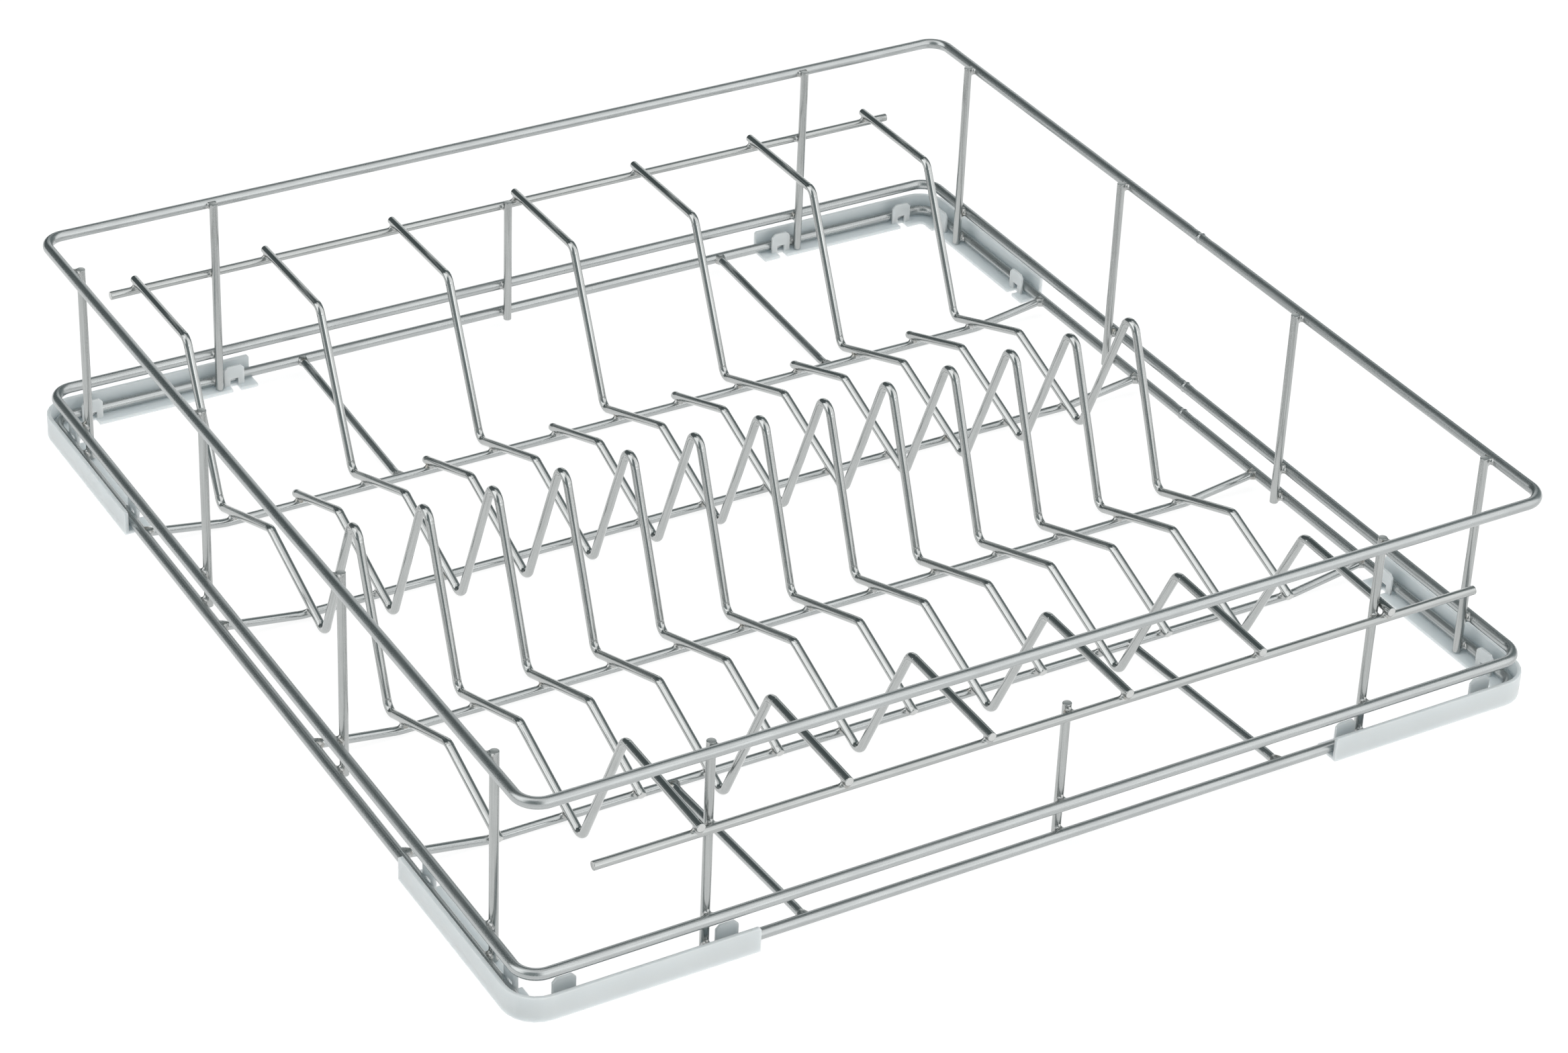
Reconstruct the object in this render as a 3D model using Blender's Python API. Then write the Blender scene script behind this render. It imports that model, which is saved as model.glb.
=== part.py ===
"""Wire basket for drying dishes: three closed rings, upright posts, rails, cross bars,
thirteen bent plate wires and four clip-on corner guards. Metres, +Z up, resting on Z = 0."""

import math

import bmesh
import bpy

MM = 0.001

# Overall layout, all in millimetres. Rings are sized to the centre line of their wire.
RING_LENGTH_X = 490.0
RING_LENGTH_Y = 495.0
RING_CORNER_RADIUS = 10.0
RING_WIRE_RADIUS = 2.5
WIRE_RADIUS = 2.0
WELD_GAP = 0.3

LOWER_RING_Z = 7.8
UPPER_BASE_RING_Z = 23.0
RIM_Z = 105.2

# Upright posts, on the inner side of the rings.
SIDE_POST_Y = (-211.0, -71.5, 71.5, 211.0)
END_POSTS = (
    ("front_post_left", -162.6, -1),
    ("front_post_right", 161.0, -1),
    ("back_post_left", -161.0, 1),
    ("back_post_right", 162.3, 1),
)
FRONT_SHORT_POST_X = 5.0
BACK_SHORT_POST_X = -5.5
POST_FOOT_Z = 5.3
POST_TOP_Z = 106.8
SHORT_POST_TOP_Z = 71.5

# Rails that carry the free ends of the plate wires, on the outer side of the posts.
RAIL_HALF_LENGTH = 214.0
FRONT_RAIL_SHIFT = -2.0
BACK_RAIL_SHIFT = 1.0
RAIL_Z = 67.7

# Cross bars under the plate wires. Their ends rise to meet the lower ring.
OUTER_BAR_Y = 135.7
INNER_BAR_Y = 49.8
OUTER_BAR_Z = 2.0
INNER_BAR_Z = 2.6
BAR_KNEE_X = 205.0
BAR_BEND_RADIUS = 30.0

# Stubs that tie the outer bars to the front and back of the lower ring.
STUB_X = 117.0
FRONT_STUB_SHIFT = -1.6
BACK_STUB_SHIFT = 1.1
STUB_RING_RUN = 6.0
STUB_BAR_RUN = 5.0
STUB_BEND_RADIUS = 8.0

# Plate wires: corner points of the centre line in Y and Z, from rail end to bar end.
# The wires stand slightly askew: they are turned a little and set a little to the left.
PLATE_WIRE_PITCH = 67.0
PLATE_WIRE_SLANT = 0.008
PLATE_WIRE_SHIFT = -0.4
PLATE_WIRE_BEND_RADIUS = 5.0
PLATE_WIRE_CORNERS = (
    (250.0, 72.0),
    (186.0, 73.0),
    (150.7, 1.0),
    (92.3, 22.6),
    (33.5, 1.3),
    (0.0, 84.3),
    (-33.5, 1.3),
    (-92.3, 22.6),
    (-141.0, 4.6),
)

# Corner guards: an angle section round the lower ring, with two snap tabs on each arm.
GUARD_ARM_LENGTH = 103.0
GUARD_INNER_FACE = 3.3
GUARD_OUTER_FACE = 5.2
GUARD_FLANGE_EDGE = -7.6
GUARD_BOTTOM = -4.6
GUARD_FLANGE_TOP = -2.9
GUARD_SKIRT_TOP = 7.2
GUARD_SKIRT_CHAMFER = 0.8
GUARD_CORNER_STEPS = 6
TAB_DISTANCES = (19.0, 92.0)
TAB_WIDTH = 10.4
TAB_OUTER_FACE = -2.9
TAB_INNER_FACE = -4.4
TAB_BARB_FACE = -2.0
TAB_BARB_Z = (3.4, 4.4, 5.6)
TAB_TOP = 7.8
TAB_CORNER = 1.8
TAB_ROOT = -3.7
SLOT_WIDTH = 4.2
SLOT_TOP = 1.0
SLOT_DEPTH_FACE = -2.4
CUT_MARGIN = 2.0

RING_SIDES_RESOLUTION = 3
WIRE_SIDES_RESOLUTION = 2
RING_CORNER_STEPS = 5
BEND_STEPS = 3

HALF_X = RING_LENGTH_X / 2
HALF_Y = RING_LENGTH_Y / 2
POST_INSET = RING_WIRE_RADIUS + WIRE_RADIUS + WELD_GAP
SIDE_POST_X = HALF_X - POST_INSET
END_POST_Y = HALF_Y - POST_INSET
RAIL_Y = END_POST_Y + 2 * WIRE_RADIUS + WELD_GAP
RING_INNER_FACE_X = HALF_X - RING_WIRE_RADIUS - WELD_GAP
RING_INNER_FACE_Y = HALF_Y - RING_WIRE_RADIUS - WELD_GAP


def clear_scene():
    for obj in list(bpy.data.objects):
        bpy.data.objects.remove(obj)


def new_collection(name):
    collection = bpy.data.collections.new(name)
    bpy.context.scene.collection.children.link(collection)
    return collection


def principled(name, colour, roughness, metallic):
    material = bpy.data.materials.new(name)
    material.use_nodes = True
    shader = material.node_tree.nodes["Principled BSDF"]
    shader.inputs["Base Color"].default_value = (*colour, 1.0)
    shader.inputs["Roughness"].default_value = roughness
    shader.inputs["Metallic"].default_value = metallic
    return material


def steel(name, shade):
    return principled(name + "_steel", (shade, shade * 1.01, shade), 0.3, 1.0)


def plastic(name):
    return principled(name + "_plastic", (0.78, 0.8, 0.81), 0.45, 0.0)


def vector(x, y, z):
    return (x * MM, y * MM, z * MM)


def rounded_path(corners, radius, steps, closed):
    """The polyline through these 3-D corners with each turn replaced by a circular arc."""
    path = []
    count = len(corners)
    for index, corner in enumerate(corners):
        if not closed and index in (0, count - 1):
            path.append(corner)
            continue
        before = corners[index - 1]
        after = corners[(index + 1) % count]
        path.extend(bend(before, corner, after, radius, steps))
    return path


def unit(start, end):
    difference = [b - a for a, b in zip(start, end)]
    length = math.sqrt(sum(value * value for value in difference))
    return [value / length for value in difference]


def bend(before, corner, after, radius, steps):
    """Points of the arc that is tangent to both legs that meet at the corner."""
    to_before = unit(corner, before)
    to_after = unit(corner, after)
    cosine = sum(a * b for a, b in zip(to_before, to_after))
    half_angle = math.acos(max(-1.0, min(1.0, cosine))) / 2
    tangent = radius / math.tan(half_angle)
    bisector = unit((0, 0, 0), [a + b for a, b in zip(to_before, to_after)])
    centre = [c + b * radius / math.sin(half_angle) for c, b in zip(corner, bisector)]
    first = [c + d * tangent - m for c, d, m in zip(corner, to_before, centre)]
    last = [c + d * tangent - m for c, d, m in zip(corner, to_after, centre)]
    sweep = math.pi - 2 * half_angle
    points = []
    for step in range(steps + 1):
        share = step / steps
        start_weight = math.sin((1 - share) * sweep) / math.sin(sweep)
        end_weight = math.sin(share * sweep) / math.sin(sweep)
        points.append(
            tuple(m + a * start_weight + b * end_weight for m, a, b in zip(centre, first, last))
        )
    return points


def wire(collection, name, path, radius, resolution, closed, shade):
    curve = bpy.data.curves.new(name, "CURVE")
    curve.dimensions = "3D"
    curve.bevel_depth = radius * MM
    curve.bevel_resolution = resolution
    curve.use_fill_caps = True
    spline = curve.splines.new("POLY")
    spline.points.add(len(path) - 1)
    for point, position in zip(spline.points, path):
        point.co = (*vector(*position), 1.0)
    spline.use_cyclic_u = closed
    obj = bpy.data.objects.new(name, curve)
    obj.data.materials.append(steel(name, shade))
    collection.objects.link(obj)
    return obj


def ring(collection, name, height, shade):
    corners = [
        (-HALF_X, -HALF_Y, height),
        (HALF_X, -HALF_Y, height),
        (HALF_X, HALF_Y, height),
        (-HALF_X, HALF_Y, height),
    ]
    path = rounded_path(corners, RING_CORNER_RADIUS, RING_CORNER_STEPS, True)
    wire(collection, name, path, RING_WIRE_RADIUS, RING_SIDES_RESOLUTION, True, shade)


def rod(collection, name, start, end, shade):
    wire(collection, name, [start, end], WIRE_RADIUS, WIRE_SIDES_RESOLUTION, False, shade)


def post(collection, name, x, y, top):
    rod(collection, name, (x, y, POST_FOOT_Z), (x, y, top), 0.6)


def add_posts(collection):
    for number, y in enumerate(SIDE_POST_Y, 1):
        post(collection, f"left_post_{number}", -SIDE_POST_X, y, POST_TOP_Z)
        post(collection, f"right_post_{number}", SIDE_POST_X, y, POST_TOP_Z)
    for name, x, side in END_POSTS:
        post(collection, name, x, side * END_POST_Y, POST_TOP_Z)
    post(collection, "front_short_post", FRONT_SHORT_POST_X, -END_POST_Y, SHORT_POST_TOP_Z)
    post(collection, "back_short_post", BACK_SHORT_POST_X, END_POST_Y, SHORT_POST_TOP_Z)


def rail(collection, name, y, shift):
    start = (shift - RAIL_HALF_LENGTH, y, RAIL_Z)
    end = (shift + RAIL_HALF_LENGTH, y, RAIL_Z)
    rod(collection, name, start, end, 0.62)


def cross_bar(collection, name, y, height):
    corners = [
        (-RING_INNER_FACE_X, y, LOWER_RING_Z),
        (-BAR_KNEE_X, y, height),
        (BAR_KNEE_X, y, height),
        (RING_INNER_FACE_X, y, LOWER_RING_Z),
    ]
    path = rounded_path(corners, BAR_BEND_RADIUS, BEND_STEPS, False)
    wire(collection, name, path, WIRE_RADIUS, WIRE_SIDES_RESOLUTION, False, 0.6)


def stub(collection, name, x, side):
    ring_end = RING_INNER_FACE_Y
    bar_end = OUTER_BAR_Y + WIRE_RADIUS + WELD_GAP
    corners = [
        (x, side * ring_end, LOWER_RING_Z),
        (x, side * (ring_end - STUB_RING_RUN), LOWER_RING_Z),
        (x, side * (bar_end + STUB_BAR_RUN), OUTER_BAR_Z),
        (x, side * bar_end, OUTER_BAR_Z),
    ]
    path = rounded_path(corners, STUB_BEND_RADIUS, BEND_STEPS, False)
    wire(collection, name, path, WIRE_RADIUS, WIRE_SIDES_RESOLUTION, False, 0.6)


def plate_wire(collection, name, x, side):
    """One bent plate wire. Side 1 hooks over the back rail, side -1 over the front rail."""
    middle = x + PLATE_WIRE_SHIFT
    corners = [(middle + PLATE_WIRE_SLANT * side * y, side * y, z) for y, z in PLATE_WIRE_CORNERS]
    path = rounded_path(corners, PLATE_WIRE_BEND_RADIUS, BEND_STEPS, False)
    wire(collection, name, path, WIRE_RADIUS, WIRE_SIDES_RESOLUTION, False, 0.64)


def add_plate_wires(collection):
    for index in range(7):
        x = (index - 3) * PLATE_WIRE_PITCH
        plate_wire(collection, f"back_plate_wire_{index + 1}", x, 1)
    for index in range(6):
        x = (index - 2.5) * PLATE_WIRE_PITCH
        plate_wire(collection, f"front_plate_wire_{index + 1}", x, -1)


def guard_section(skirt_top):
    return [
        (GUARD_FLANGE_EDGE, GUARD_BOTTOM),
        (GUARD_OUTER_FACE, GUARD_BOTTOM),
        (GUARD_OUTER_FACE, skirt_top),
        (GUARD_INNER_FACE, skirt_top),
        (GUARD_INNER_FACE, GUARD_FLANGE_TOP),
        (GUARD_FLANGE_EDGE, GUARD_FLANGE_TOP),
    ]


def place_on_arm(along_x, distance, outward, height):
    """A point this far from the corner of the ring along one arm, outward of the ring wire."""
    if along_x:
        return (HALF_X - distance, HALF_Y + outward, LOWER_RING_Z + height)
    return (HALF_X + outward, HALF_Y - distance, LOWER_RING_Z + height)


def arm_station(along_x, distance, skirt_top):
    return [place_on_arm(along_x, distance, u, z) for u, z in guard_section(skirt_top)]


def corner_station(share):
    angle = math.pi / 2 * (1 - share)
    centre_x = HALF_X - RING_CORNER_RADIUS
    centre_y = HALF_Y - RING_CORNER_RADIUS
    points = []
    for outward, height in guard_section(GUARD_SKIRT_TOP):
        radius = RING_CORNER_RADIUS + outward
        x = centre_x + radius * math.cos(angle)
        y = centre_y + radius * math.sin(angle)
        points.append((x, y, LOWER_RING_Z + height))
    return points


def arm_end_stations(along_x):
    """From the tip of an arm inwards: the chamfered tip of the skirt, then its full height."""
    low_top = GUARD_SKIRT_TOP - GUARD_SKIRT_CHAMFER
    return [
        arm_station(along_x, GUARD_ARM_LENGTH, low_top),
        arm_station(along_x, GUARD_ARM_LENGTH - GUARD_SKIRT_CHAMFER, GUARD_SKIRT_TOP),
    ]


def face_outwards(body):
    bmesh.ops.recalc_face_normals(body, faces=body.faces)
    if body.calc_volume(signed=True) < 0:
        bmesh.ops.reverse_faces(body, faces=body.faces)


def lofted_mesh(name, rows):
    """A closed mesh through rows of section points, with a flat face on both ends."""
    body = bmesh.new()
    made = [[body.verts.new(vector(*point)) for point in row] for row in rows]
    count = len(made[0])
    for row, following in zip(made, made[1:]):
        for index in range(count):
            after = (index + 1) % count
            body.faces.new((row[index], row[after], following[after], following[index]))
    body.faces.new(made[0])
    body.faces.new(made[-1])
    face_outwards(body)
    mesh = bpy.data.meshes.new(name)
    body.to_mesh(mesh)
    body.free()
    return mesh


def guard_angle_mesh(name):
    stations = arm_end_stations(True)
    for step in range(GUARD_CORNER_STEPS + 1):
        stations.append(corner_station(step / GUARD_CORNER_STEPS))
    stations.extend(reversed(arm_end_stations(False)))
    return lofted_mesh(name, stations)


def tab_section(top):
    low, middle, high = TAB_BARB_Z
    return [
        (TAB_INNER_FACE, TAB_ROOT),
        (TAB_OUTER_FACE, TAB_ROOT),
        (TAB_OUTER_FACE, low),
        (TAB_BARB_FACE, middle),
        (TAB_OUTER_FACE, high),
        (TAB_OUTER_FACE, top),
        (TAB_INNER_FACE, top),
    ]


def tab_mesh(name, along_x, distance):
    half = TAB_WIDTH / 2
    rows = []
    for offset, top in (
        (-half, TAB_TOP - TAB_CORNER),
        (-half + TAB_CORNER, TAB_TOP),
        (half - TAB_CORNER, TAB_TOP),
        (half, TAB_TOP - TAB_CORNER),
    ):
        section = tab_section(top)
        rows.append([place_on_arm(along_x, distance + offset, u, z) for u, z in section])
    return lofted_mesh(name, rows)


def slot_mesh(name, along_x, distance):
    section = [
        (GUARD_FLANGE_EDGE - CUT_MARGIN, GUARD_BOTTOM - CUT_MARGIN),
        (SLOT_DEPTH_FACE, GUARD_BOTTOM - CUT_MARGIN),
        (SLOT_DEPTH_FACE, SLOT_TOP),
        (GUARD_FLANGE_EDGE - CUT_MARGIN, SLOT_TOP),
    ]
    rows = []
    for offset in (-SLOT_WIDTH / 2, SLOT_WIDTH / 2):
        rows.append([place_on_arm(along_x, distance + offset, u, z) for u, z in section])
    return lofted_mesh(name, rows)


def turn_to_corner(mesh, side_x, side_y):
    body = bmesh.new()
    body.from_mesh(mesh)
    for vertex in body.verts:
        vertex.co.x *= side_x
        vertex.co.y *= side_y
    face_outwards(body)
    body.to_mesh(mesh)
    body.free()
    return mesh


def helper(cutters, mesh):
    obj = bpy.data.objects.new(mesh.name, mesh)
    obj.hide_render = True
    obj.display_type = "WIRE"
    cutters.objects.link(obj)
    return obj


def combine(target, other, operation):
    modifier = target.modifiers.new(other.name, "BOOLEAN")
    modifier.operation = operation
    modifier.solver = "EXACT"
    modifier.object = other


def guard(collection, cutters, name, side_x, side_y):
    mesh = turn_to_corner(guard_angle_mesh(name), side_x, side_y)
    obj = bpy.data.objects.new(name, mesh)
    obj.data.materials.append(plastic(name))
    collection.objects.link(obj)
    places = [(along_x, distance) for along_x in (True, False) for distance in TAB_DISTANCES]
    for number, (along_x, distance) in enumerate(places, 1):
        tab = tab_mesh(f"{name}_tab_{number}", along_x, distance)
        combine(obj, helper(cutters, turn_to_corner(tab, side_x, side_y)), "UNION")
    for number, (along_x, distance) in enumerate(places, 1):
        slot = slot_mesh(f"{name}_slot_{number}", along_x, distance)
        combine(obj, helper(cutters, turn_to_corner(slot, side_x, side_y)), "DIFFERENCE")


def build():
    clear_scene()
    rack = new_collection("dish_drying_rack")
    cutters = new_collection("cutters")
    cutters.hide_render = True
    ring(rack, "lower_base_ring", LOWER_RING_Z, 0.6)
    ring(rack, "upper_base_ring", UPPER_BASE_RING_Z, 0.6)
    ring(rack, "rim_ring", RIM_Z, 0.62)
    add_posts(rack)
    rail(rack, "front_rail", -RAIL_Y, FRONT_RAIL_SHIFT)
    rail(rack, "back_rail", RAIL_Y, BACK_RAIL_SHIFT)
    cross_bar(rack, "cross_bar_back", OUTER_BAR_Y, OUTER_BAR_Z)
    cross_bar(rack, "cross_bar_mid_back", INNER_BAR_Y, INNER_BAR_Z)
    cross_bar(rack, "cross_bar_mid_front", -INNER_BAR_Y, INNER_BAR_Z)
    cross_bar(rack, "cross_bar_front", -OUTER_BAR_Y, OUTER_BAR_Z)
    for end, side, shift in (("back", 1, BACK_STUB_SHIFT), ("front", -1, FRONT_STUB_SHIFT)):
        stub(rack, f"{end}_stub_left", shift - STUB_X, side)
        stub(rack, f"{end}_stub_right", shift + STUB_X, side)
    add_plate_wires(rack)
    for end, side_y in (("front", -1), ("back", 1)):
        guard(rack, cutters, f"corner_guard_{end}_left", -1, side_y)
        guard(rack, cutters, f"corner_guard_{end}_right", 1, side_y)


build()
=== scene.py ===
"""The looks of the dish drying rack: smooth wires, weld fillets, cut ends, die marks and corner guards."""

import math
import random

import bmesh
import bpy
from mathutils import Matrix, Vector


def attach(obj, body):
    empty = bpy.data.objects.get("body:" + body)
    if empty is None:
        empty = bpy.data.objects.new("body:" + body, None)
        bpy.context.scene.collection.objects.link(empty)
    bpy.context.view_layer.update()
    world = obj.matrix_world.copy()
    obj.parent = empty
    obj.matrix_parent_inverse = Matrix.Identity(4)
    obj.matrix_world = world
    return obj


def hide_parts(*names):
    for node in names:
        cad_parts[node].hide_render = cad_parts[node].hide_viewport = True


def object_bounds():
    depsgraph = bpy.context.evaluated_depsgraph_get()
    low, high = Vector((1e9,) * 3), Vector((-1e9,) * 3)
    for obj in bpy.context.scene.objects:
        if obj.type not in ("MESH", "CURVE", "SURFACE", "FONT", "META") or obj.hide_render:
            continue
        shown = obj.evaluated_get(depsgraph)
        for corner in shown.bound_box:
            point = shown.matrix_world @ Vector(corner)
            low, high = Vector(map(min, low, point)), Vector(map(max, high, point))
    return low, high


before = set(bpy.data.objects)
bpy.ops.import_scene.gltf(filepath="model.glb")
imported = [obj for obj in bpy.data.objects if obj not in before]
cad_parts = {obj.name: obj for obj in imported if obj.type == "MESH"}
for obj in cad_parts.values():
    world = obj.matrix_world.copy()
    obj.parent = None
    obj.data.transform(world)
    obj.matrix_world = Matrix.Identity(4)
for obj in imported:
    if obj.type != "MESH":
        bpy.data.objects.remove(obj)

CAD_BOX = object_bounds()
MM = 0.001

# Layout in millimetres, the same as in the CAD part, except that the rim sits 0.13 lower so that its
# beads stay under the CAD's top.
HALF_X = 245.0
HALF_Y = 247.5
RING_CORNER_RADIUS = 10.0
RING_RADIUS = 2.5
WIRE_RADIUS = 2.0
WELD_GAP = 0.3
LOWER_RING_Z = 7.8
UPPER_RING_Z = 23.0
RIM_Z = 105.07
SIDE_POST_Y = (-211.0, -71.5, 71.5, 211.0)
END_POSTS = (
    ("front_post_left", -162.6, -1),
    ("front_post_right", 161.0, -1),
    ("back_post_left", -161.0, 1),
    ("back_post_right", 162.3, 1),
)
FRONT_SHORT_POST_X = 5.0
BACK_SHORT_POST_X = -5.5
POST_FOOT_Z = 5.3
POST_TOP_Z = 106.8
SHORT_POST_TOP_Z = 71.5
RAIL_HALF_LENGTH = 214.0
RAIL_SHIFTS = {"front": -2.0, "back": 1.0}
RAIL_Z = 67.7
OUTER_BAR_Y = 135.7
INNER_BAR_Y = 49.8
OUTER_BAR_Z = 2.0
INNER_BAR_Z = 2.6
BAR_KNEE_X = 205.0
BAR_BEND_RADIUS = 30.0
STUB_X = 117.0
STUB_SHIFTS = {"front": -1.6, "back": 1.1}
STUB_RING_RUN = 6.0
STUB_BAR_RUN = 5.0
STUB_BEND_RADIUS = 8.0
PLATE_WIRE_PITCH = 67.0
PLATE_WIRE_SLANT = 0.008
PLATE_WIRE_SHIFT = -0.4
PLATE_WIRE_BEND_RADIUS = 5.0
PLATE_WIRE_CORNERS = (
    (250.0, 72.0),
    (186.0, 73.0),
    (150.7, 1.0),
    (92.3, 22.6),
    (33.5, 1.3),
    (0.0, 84.3),
    (-33.5, 1.3),
    (-92.3, 22.6),
    (-141.0, 4.6),
)
POST_INSET = RING_RADIUS + WIRE_RADIUS + WELD_GAP
SIDE_POST_X = HALF_X - POST_INSET
END_POST_Y = HALF_Y - POST_INSET
RAIL_Y = END_POST_Y + 2 * WIRE_RADIUS + WELD_GAP
RING_INNER_X = HALF_X - RING_RADIUS - WELD_GAP
RING_INNER_Y = HALF_Y - RING_RADIUS - WELD_GAP
BUTT_WELD_Y = 9.0
# The radius of a guard's rounded edges, and how far a clip's face and its barb lie from the ring's middle.
GUARD_EDGE_ROUND = 0.35
CLIP_FACE = -2.9
CLIP_BARB_FACE = -2.0
# How far the edge of a cut end is rounded, and how far the sheared face is hollow.
EDGE_ROUND = 0.22
CUT_HOLLOW = 0.02
# A wire's section at a bend is this share wider one way and narrower the other.
BEND_SQUEEZE = 0.03
# The slight waviness of a drawn wire: its height, and its turns per millimetre in radians.
WAVE_HEIGHT = 0.012
WAVE_RATE = 0.11
# How far from a weld the heat tint reaches.
HEAT_REACH = 2.4
# Numbers of vertices round a weld fillet.
WELD_SIDES = 28

X_AXIS = Vector((1, 0, 0))
Y_AXIS = Vector((0, 1, 0))
Z_AXIS = Vector((0, 0, 1))

chance = random.Random(44)


# ---------------------------------------------------------------- materials


def node(tree, kind, **inputs):
    made = tree.nodes.new(kind)
    for name, value in inputs.items():
        made.inputs[name.replace("_", " ")].default_value = value
    return made


def new_material(name):
    material = bpy.data.materials.new(name)
    material.use_nodes = True
    tree = material.node_tree
    return material, tree, tree.nodes["Principled BSDF"]


def attribute(tree, name):
    made = tree.nodes.new("ShaderNodeAttribute")
    made.attribute_name = name
    return made


def stretched_noise(tree, source, scale, detail, stretch):
    """Noise in wire coordinates: across, across and along, in millimetres."""
    mapping = node(tree, "ShaderNodeMapping", Scale=stretch)
    noise = node(tree, "ShaderNodeTexNoise", Scale=scale, Detail=detail)
    tree.links.new(source, mapping.inputs["Vector"])
    tree.links.new(mapping.outputs["Vector"], noise.inputs["Vector"])
    return noise.outputs["Fac"]


def remap(tree, value, low, high, to_low, to_high):
    made = node(tree, "ShaderNodeMapRange")
    for slot, number in zip(("From Min", "From Max", "To Min", "To Max"), (low, high, to_low, to_high)):
        made.inputs[slot].default_value = number
    tree.links.new(value, made.inputs["Value"])
    return made.outputs["Result"]


def math_node(tree, operation, first, second):
    made = tree.nodes.new("ShaderNodeMath")
    made.operation = operation
    for slot, value in zip(made.inputs, (first, second)):
        if isinstance(value, (int, float)):
            slot.default_value = value
        else:
            tree.links.new(value, slot)
    return made.outputs[0]


def blend(tree, first, first_share, second, second_share):
    """The sum of two values, each in its share."""
    parts = [
        math_node(tree, "MULTIPLY", first, first_share),
        math_node(tree, "MULTIPLY", second, second_share),
    ]
    return math_node(tree, "ADD", *parts)


def mix_colour(tree, factor, first, second):
    made = tree.nodes.new("ShaderNodeMix")
    made.data_type = "RGBA"
    tree.links.new(factor, made.inputs["Factor"])
    for slot, value in ((made.inputs[6], first), (made.inputs[7], second)):
        if isinstance(value, tuple):
            slot.default_value = (*value, 1.0)
        else:
            tree.links.new(value, slot)
    return made.outputs[2]


HEAT_BROWN = (0.17, 0.135, 0.085)


def steel(name, colour, smooth, rough, streak_depth, grain_depth, grain_scale=5.5):
    """Drawn stainless wire: fine lines along it, a fine grain, faint stains, and a heat tint by its welds."""
    material, tree, shader = new_material(name)
    where = attribute(tree, "wire_coord").outputs["Vector"]
    heat = attribute(tree, "heat").outputs["Fac"]
    streaks = stretched_noise(tree, where, 2.4, 4.0, (1.0, 1.0, 0.018))
    grain = stretched_noise(tree, where, grain_scale, 3.0, (1.0, 1.0, 0.6))
    stains = stretched_noise(tree, where, 0.16, 3.0, (1.0, 1.0, 0.5))
    shade = blend(tree, streaks, 0.6, grain, 0.4)
    dark = tuple(value * 0.88 for value in colour)
    light = tuple(min(1.0, value * 1.1) for value in colour)
    stained = tuple(value * 0.86 for value in colour)
    base = mix_colour(tree, remap(tree, shade, 0.35, 0.65, 0.0, 1.0), dark, light)
    base = mix_colour(tree, remap(tree, stains, 0.45, 0.75, 0.0, 0.45), base, stained)
    uneven_heat = math_node(tree, "MULTIPLY", heat, math_node(tree, "ADD", grain, 0.6))
    base = mix_colour(tree, remap(tree, uneven_heat, 0.35, 0.9, 0.0, 1.0), base, HEAT_BROWN)
    tree.links.new(base, shader.inputs["Base Color"])
    shader.inputs["Metallic"].default_value = 1.0
    wear = blend(tree, grain, 0.5, stains, 0.5)
    roughness = blend(tree, remap(tree, wear, 0.32, 0.68, smooth, rough), 1.0, heat, 0.12)
    tree.links.new(roughness, shader.inputs["Roughness"])
    lines = node(tree, "ShaderNodeBump", Strength=1.0, Distance=streak_depth * MM)
    tree.links.new(streaks, lines.inputs["Height"])
    pits = node(tree, "ShaderNodeBump", Strength=1.0, Distance=grain_depth * MM)
    tree.links.new(grain, pits.inputs["Height"])
    tree.links.new(lines.outputs["Normal"], pits.inputs["Normal"])
    tree.links.new(pits.outputs["Normal"], shader.inputs["Normal"])
    return material


def weld_metal(name):
    """Metal that has melted and set: bright, lumpy, with a thin tinted skin in places."""
    material, tree, shader = new_material(name)
    place = node(tree, "ShaderNodeTexCoord").outputs["Object"]
    lumps = node(tree, "ShaderNodeTexNoise", Scale=900.0, Detail=3.0)
    skin = node(tree, "ShaderNodeTexNoise", Scale=260.0, Detail=2.0)
    tree.links.new(place, lumps.inputs["Vector"])
    tree.links.new(place, skin.inputs["Vector"])
    bright = mix_colour(tree, lumps.outputs["Fac"], (0.36, 0.37, 0.37), (0.56, 0.57, 0.56))
    skinned = remap(tree, skin.outputs["Fac"], 0.52, 0.72, 0.0, 0.7)
    base = mix_colour(tree, skinned, bright, (0.25, 0.23, 0.19))
    tree.links.new(base, shader.inputs["Base Color"])
    shader.inputs["Metallic"].default_value = 1.0
    tree.links.new(remap(tree, lumps.outputs["Fac"], 0.3, 0.7, 0.16, 0.4), shader.inputs["Roughness"])
    bump = node(tree, "ShaderNodeBump", Strength=1.0, Distance=0.00012)
    tree.links.new(lumps.outputs["Fac"], bump.inputs["Height"])
    tree.links.new(bump.outputs["Normal"], shader.inputs["Normal"])
    return material


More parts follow.
